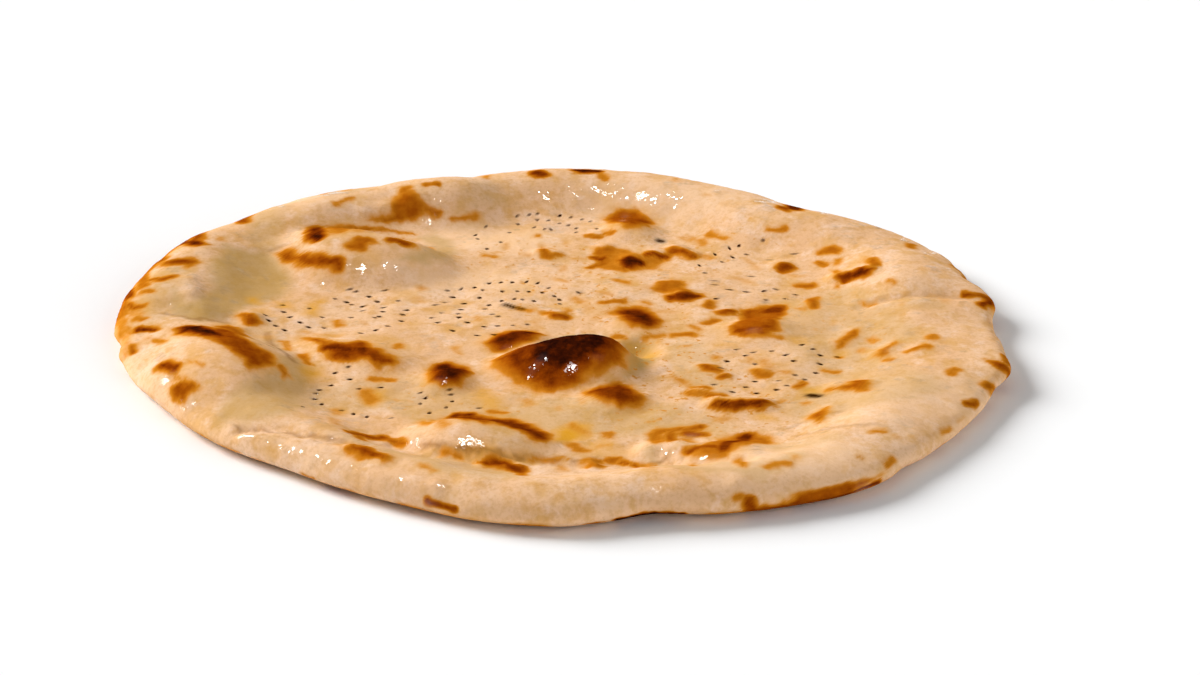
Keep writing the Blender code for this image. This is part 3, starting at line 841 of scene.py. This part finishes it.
GLOSSY = {
    "left": [
        (-125, -56, -124, -54, 0.9, 1.0), (-117, -69, -116, -69, 1.4, 1.0),
        (-128, 23, -125, 11, 0.9, 0.9), (-125, 11, -122, 22, 0.9, 0.9), (-101, 22, -101, 21, 1.2, 0.9),
        (-117, 15, -117, 14, 1.2, 0.9), (-83, 54, -78, 54, 0.8, 0.8), (-46, 97, -44, 98, 0.6, 0.8),
    ],
    "front rim": [
        (-97, -94, -88, -99, 1.8, 1.0), (-88, -99, -84, -104, 2.2, 1.0), (-84, -104, -76, -108, 1.8, 1.0),
        (-76, -108, -62, -118, 1.4, 1.0), (-50, -127, -47, -128, 1.6, 1.0), (-38, -133, -35, -133, 1.8, 1.0),
        (-28, -99, -27, -99, 1.2, 0.9), (33, -101, 37, -101, 1.2, 1.0), (46, -110, 49, -110, 1.6, 1.0),
        (63, -104, 63, -110, 1.6, 1.0), (43, -86, 44, -86, 1.4, 1.0), (95, -120, 96, -120, 1.4, 1.0),
        (112, -99, 107, -104, 1.4, 1.0),
    ],
    "middle": [
        (-8, -45, -4, -40, 0.7, 1.0), (5, -46, 6, -46, 0.3, 0.9), (13, -42, 15, -42, 0.3, 0.7),
        (-38, -50, -37, -50, 0.6, 1.0), (16, -67, 17, -67, 0.7, 1.0), (-17, -19, -16, -19, 0.5, 0.8),
        (16, 39, 17, 39, 1.2, 0.9),
    ],
    "right": [
        (94, -1, 94, -2, 1.4, 1.0), (66, -8, 67, -8, 1.4, 1.0), (70, -18, 71, -18, 1.4, 1.0),
        (111, -25, 111, -26, 1.4, 1.0), (111, -34, 112, -34, 1.4, 1.0), (136, -52, 134, -57, 1.4, 1.0),
        (115, 20, 127, 21, 0.9, 1.0), (104, 73, 101, 70, 1.2, 0.9), (99, 74, 99, 73, 1.2, 0.9),
    ],
    "back": [
        (-27, 105, -26, 105, 1.6, 0.9), (-10, 112, -9, 112, 1.6, 0.9), (10, 104, 11, 104, 1.4, 0.9),
        (17, 115, 18, 115, 1.4, 0.9), (30, 109, 36, 105, 1.2, 0.9), (24, 101, 23, 91, 0.8, 0.7),
        (66, 92, 65, 88, 1.4, 0.9), (72, 86, 72, 85, 1.4, 0.9), (65, 80, 65, 79, 1.4, 0.9),
        (75, 82, 75, 81, 1.4, 0.9),
    ],
}


def smooth_step(low, high, value):
    part = np.clip((value - low) / (high - low), 0, 1)
    return part * part * (3 - 2 * part)


def from_stroke(x, y, stroke):
    """Each point's distance, in mm, from a stroke's middle line."""
    x1, y1, x2, y2 = stroke[:4]
    dx, dy = x2 - x1, y2 - y1
    length = dx * dx + dy * dy
    part = np.clip(((x - x1) * dx + (y - y1) * dy) / length, 0, 1) if length else 0
    return np.hypot(x - x1 - part * dx, y - y1 - part * dy)


def into_outline(x, y, outline):
    """How far inside an outline each point lies, in mm: less than 0 outside it."""
    away = np.full(len(x), np.inf)
    inside = np.zeros(len(x), bool)
    for (x1, y1), (x2, y2) in zip(outline, outline[1:] + outline[:1]):
        away = np.minimum(away, from_stroke(x, y, (x1, y1, x2, y2)))
        if y1 != y2:
            inside ^= ((y1 > y) != (y2 > y)) & (x < x1 + (y - y1) * (x2 - x1) / (y2 - y1))
    return np.where(inside, away, -away)


def fill(x, y, patches, halo=0.0):
    """The deepest of the patches at each point, growing inwards from a soft halo."""
    depth = np.zeros(len(x))
    for full, rise, outline in patches:
        inside = into_outline(x, y, outline)
        depth = np.maximum(depth, full * smooth_step(-SPREAD, rise, inside))
        depth = np.maximum(depth, halo * smooth_step(-HALO_WIDTH, 0, inside))
    return depth


def paint(x, y, strokes, fade, core=0.3):
    """The deepest of the strokes at each point: full in the core, then fading out."""
    depth = np.zeros(len(x))
    for stroke in strokes:
        half, full = stroke[4:]
        away = from_stroke(x, y, stroke)
        part = np.clip((away - core * half) / ((1 - core) * half + fade), 0, 1)
        depth = np.maximum(depth, full * (1 - part) ** 1.15)
    return depth


def keep_on_points(name, values):
    """Store one number for each point, for the material to read."""
    layer = bread.data.attributes.new(name, "FLOAT", "POINT")
    layer.data.foreach_set("value", np.asarray(values, np.float32))
    print(name, "painted, highest", round(float(np.max(values)), 2))


# %% Paint the maps on the points
PULL, PULL_SIZE = 1.1, 5.0
SPREAD = 2.4
HALO, HALO_WIDTH = 0.2, 4.0
DAB_FADE = 2.2
EDGE_TAN, PATCHY_SIZE = 0.56, 9.0

places = points_of(bread.data)
pulled = np.array([
    noise.noise_vector(Vector(p) / PULL_SIZE) + 0.5 * noise.noise_vector(Vector(p) / 2.2)
    for p in places
]) * PULL
x, y = places[:, 0] + pulled[:, 0], places[:, 1] + 1.7 * pulled[:, 1]
patchy = np.array([noise.noise(Vector(p) / PATCHY_SIZE) for p in places])
upper = smooth_step(1.2, 3.2, places[:, 2])
normals = np.empty(len(places) * 3, np.float32)
bread.data.vertex_normals.foreach_get("vector", normals)
side = smooth_step(0.3, 0.6, 1 - normals[2::3])
front = side * (places[:, 1] < -60)
distance = np.hypot(places[:, 0], places[:, 1])
outward = (normals[0::3] * places[:, 0] + normals[1::3] * places[:, 1]) / np.maximum(distance, 1)
outer = smooth_step(0.3, 0.55, outward) * (distance > 116)
browning = np.maximum(fill(x, y, PATCHES.values(), HALO), paint(x, y, sum(DABS.values(), []), DAB_FADE))
edge_browning = paint(x, places[:, 2] + pulled[:, 2], EDGE_DABS, 0.8)
far_side = smooth_step(-30, 30, places[:, 1])
foot = EDGE_TAN * outer * np.maximum(far_side, 1 - smooth_step(1.5, 5.5, places[:, 2]))
foot = foot * (0.3 + 0.7 * smooth_step(-0.1, 0.35, patchy))
browning = np.maximum(upper * browning * (1 - front), front * edge_browning)
browning = np.maximum(browning, foot)
buttering = np.maximum(fill(x, y, [BUTTER_POOL]), paint(x, y, BUTTER, 3.0))
painted_shading = np.maximum(fill(x, y, SHADE_PATCHES.values()), paint(x, y, SHADE_STROKES, 3.0, 0.7))
keep_on_points("browned", browning)
keep_on_points("buttered", upper * buttering)
# Painted shade: how far each point is darkened to the olive tan.
keep_on_points("painted_shade", upper * painted_shading)
# Painted light: how far each point is lightened.
keep_on_points("painted_light", paint(x, y, PAINTED_LIGHT, 9.0, 0.6))
keep_on_points("freckled", paint(places[:, 0], places[:, 1], FRECKLED, 22.0, 0.6))
keep_on_points("dry", np.maximum(0.9 * smooth_step(94, 108, -places[:, 1]), 1 - upper))
# Painted shade along the creases.
keep_on_points("crease_shade", upper * paint(x, y, CREASE_SHADE_LINES, 0.8, 0.6))
keep_on_points("torn", upper * paint(places[:, 0], places[:, 1], TEARS, 1.0, 0.6))
keep_on_points("glossy", upper * paint(places[:, 0], places[:, 1], sum(GLOSSY.values(), []), 1.4, 0.5))
keep_on_points("under", 1 - smooth_step(0.4, 2.0, places[:, 2]))

# %% [markdown]
# ## The crust's material
# One Principled shader dresses the bread. Its colour is built as the bake was: pale
# dough with a slow drift of warm and cool, fine freckles, the yellow of the butter,
# then the browning through a colour ramp measured in steps from gold to char. Noise
# is added to the browning before the ramp, so the ramp turns it into the ragged gold
# rims of real spots.

# %% Define the material's helpers
crust = bpy.data.materials.new("baked crust")
crust.use_nodes = True
TREE_OF_CRUST = crust.node_tree
TREE_OF_CRUST.nodes.clear()


def srgb(red, green, blue):
    """A colour from 0 to 255 steps, as the linear light that Blender counts in."""
    parts = [c / 255 for c in (red, green, blue)]
    return tuple(c / 12.92 if c <= 0.04045 else ((c + 0.055) / 1.055) ** 2.4 for c in parts) + (1,)


def add(kind, sockets=None, **settings):
    """A node with its settings, and with its inputs set or linked by name or number."""
    node = TREE_OF_CRUST.nodes.new(kind)
    for name, value in settings.items():
        setattr(node, name, value)
    for name, value in (sockets or {}).items():
        if isinstance(value, bpy.types.NodeSocket):
            TREE_OF_CRUST.links.new(value, node.inputs[name])
        else:
            node.inputs[name].default_value = value
    return node


def math_node(operation, first, second=0.0):
    node = add("ShaderNodeMath", {0: first, 1: second}, operation=operation)
    return node.outputs[0]


def mixed(factor, first, second, blend="MIX"):
    """Two colours mixed by a factor."""
    node = add("ShaderNodeMix", {0: factor, 6: first, 7: second}, data_type="RGBA", blend_type=blend)
    return node.outputs[2]


def ramp(factor, stops, smooth="EASE"):
    """A colour ramp with stops of (position, colour)."""
    node = add("ShaderNodeValToRGB", {0: factor})
    node.color_ramp.interpolation = smooth
    for position, colour in stops[1:-1]:
        node.color_ramp.elements.new(position).color = colour
    node.color_ramp.elements[0].position, node.color_ramp.elements[0].color = stops[0]
    node.color_ramp.elements[-1].position, node.color_ramp.elements[-1].color = stops[-1]
    return node.outputs[0]


def grey(low, high):
    return [(low, (0, 0, 0, 1)), (high, (1, 1, 1, 1))]


def noise_of(size, detail=3.0, rough=0.55, stretch=None):
    """Noise with features of about this size in mm, on the bread's own coordinates."""
    where = WHERE
    if stretch:
        where = add("ShaderNodeMapping", {0: WHERE, 3: stretch}).outputs[0]
    node = add("ShaderNodeTexNoise", {
        "Vector": where, "Scale": 1 / (size * MM), "Detail": detail, "Roughness": rough,
    })
    return node.outputs["Fac"]


def painted(name):
    return add("ShaderNodeAttribute", attribute_name=name).outputs["Fac"]


WHERE = add("ShaderNodeTexCoord").outputs["Object"]
print("material", crust.name, "started")

# %% Colour the dough
dough = mixed(
    ramp(noise_of(34, 2.0), grey(0.38, 0.62)), srgb(234, 186, 140), srgb(240, 196, 154)
)
for size, edge, share, tone in (
    (13, 0.46, 0.7, srgb(224, 170, 100)),
    (5, 0.48, 0.6, srgb(218, 160, 86)),
    (8, 0.5, 0.75, srgb(244, 206, 174)),
    (1.3, 0.46, 0.3, srgb(206, 150, 92)),
):
    spots = math_node("MULTIPLY", ramp(noise_of(size, 4.0, 0.62), grey(edge, edge + 0.2)), share)
    dough = mixed(spots, dough, tone)
# Painted light: the dough lightened where the lamps leave it too dark.
dough = mixed(math_node("MULTIPLY", painted("painted_light"), 0.6), dough, srgb(250, 208, 166))
# Painted shade: olive tan where the hollows and the slopes away from the key lamp fall dark.
dough = mixed(math_node("MULTIPLY", painted("painted_shade"), 0.78), dough, srgb(194, 154, 88))
dough = mixed(math_node("MULTIPLY", painted("buttered"), 0.9), dough, srgb(226, 158, 16))
# Painted shade along the creases, in a dark brown.
dough = mixed(math_node("MULTIPLY", painted("crease_shade"), 0.7), dough, srgb(150, 96, 36))

# %% Brown the crust
ragged = math_node("SUBTRACT", noise_of(4.5, 4.0, 0.6), 0.5)
fine_ragged = math_node("SUBTRACT", noise_of(1.3, 3.0, 0.6), 0.5)
amount = painted("browned")
shake = math_node("MULTIPLY", math_node("MULTIPLY", ragged, 0.5), math_node("ADD", amount, 0.15))
freckles = math_node("MULTIPLY", ramp(noise_of(7, 2.0), grey(0.56, 0.76)), 0.34)
specks = math_node("MULTIPLY", ramp(noise_of(2.6, 2.0), grey(0.57, 0.7)), 0.34)
freckles = math_node("MULTIPLY", math_node("MAXIMUM", freckles, specks), painted("freckled"))
bake = math_node("ADD", math_node("MAXIMUM", amount, freckles), shake)
bake = math_node("ADD", bake, math_node("MULTIPLY", fine_ragged, math_node("MULTIPLY", amount, 0.2)))
scaled = math_node("DIVIDE", bake, 1.3)
bake_colour = ramp(scaled, [
    (0.0, srgb(230, 172, 100)), (0.14, srgb(224, 158, 70)), (0.28, srgb(212, 136, 38)),
    (0.42, srgb(190, 110, 18)), (0.54, srgb(166, 84, 8)), (0.66, srgb(138, 60, 4)),
    (0.78, srgb(104, 38, 3)), (0.9, srgb(62, 20, 4)), (1.0, srgb(34, 10, 5)),
], "LINEAR")
shown = ramp(scaled, grey(0.03, 0.34))
colour = mixed(shown, dough, bake_colour)

# %% Darken the holes and tears, and finish the underside
# Painted shade: the pin holes darkened to a near black brown.
colour = mixed(painted("pin_hole_shade"), colour, srgb(62, 26, 0))
colour = mixed(painted("torn"), colour, srgb(54, 28, 2))
oven_marks = ramp(noise_of(14, 4.0, 0.6), [
    (0.38, srgb(226, 184, 132)), (0.5, srgb(206, 148, 82)), (0.6, srgb(158, 94, 36)),
    (0.72, srgb(92, 46, 16)),
], "LINEAR")
floury = mixed(math_node("MULTIPLY", ramp(noise_of(3, 4.0), grey(0.5, 0.7)), 0.6), oven_marks, srgb(236, 212, 176))
colour = mixed(painted("under"), colour, floury)

# %% Add the bumps and the butter's gloss
bumps = math_node("MULTIPLY", noise_of(2.2, 3.0, 0.6), 0.6)
bumps = math_node("ADD", bumps, math_node("MULTIPLY", noise_of(0.7, 2.0), 0.3))
relief = add("ShaderNodeBump", {"Strength": 0.6, "Distance": 0.45 * MM, "Height": bumps}).outputs[0]
film_relief = add("ShaderNodeBump", {
    "Strength": 1.0, "Distance": 1.0 * MM, "Height": noise_of(5.0, 2.0),
}).outputs[0]
wet = math_node("MULTIPLY", ramp(noise_of(9, 3.0), grey(0.57, 0.68)), 0.9)
dry = math_node("MINIMUM", 1.0, math_node("MULTIPLY", painted("browned"), 2.0))
wet = math_node("MULTIPLY", wet, math_node("SUBTRACT", 1.0, math_node("MAXIMUM", dry, painted("dry"))))
wet = math_node("MAXIMUM", wet, painted("glossy"))
for unoiled in ("under", "pin_hole_shade", "torn"):
    wet = math_node("MULTIPLY", wet, math_node("SUBTRACT", 1.0, painted(unoiled)))
shader = add("ShaderNodeBsdfPrincipled", {
    "Base Color": colour, "Roughness": 0.6, "Specular IOR Level": 0.0, "Normal": relief,
    "Coat Weight": wet, "Coat Roughness": 0.06, "Coat Normal": film_relief,
})
output = add("ShaderNodeOutputMaterial", {"Surface": shader.outputs[0]})
bread.data.materials.clear()
bread.data.materials.append(crust)
print("crust nodes:", len(TREE_OF_CRUST.nodes))

# %% [markdown]
# ## Hand the piece over
# The bread is one piece. It rides on the only body, stands for the solid, and takes
# its finish from the baked dough.

# %% Finish
bread.data.shade_smooth()
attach(bread, "root")
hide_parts("naan")
triangles = sum(len(face.vertices) - 2 for face in bread.data.polygons)
print("triangles:", triangles)
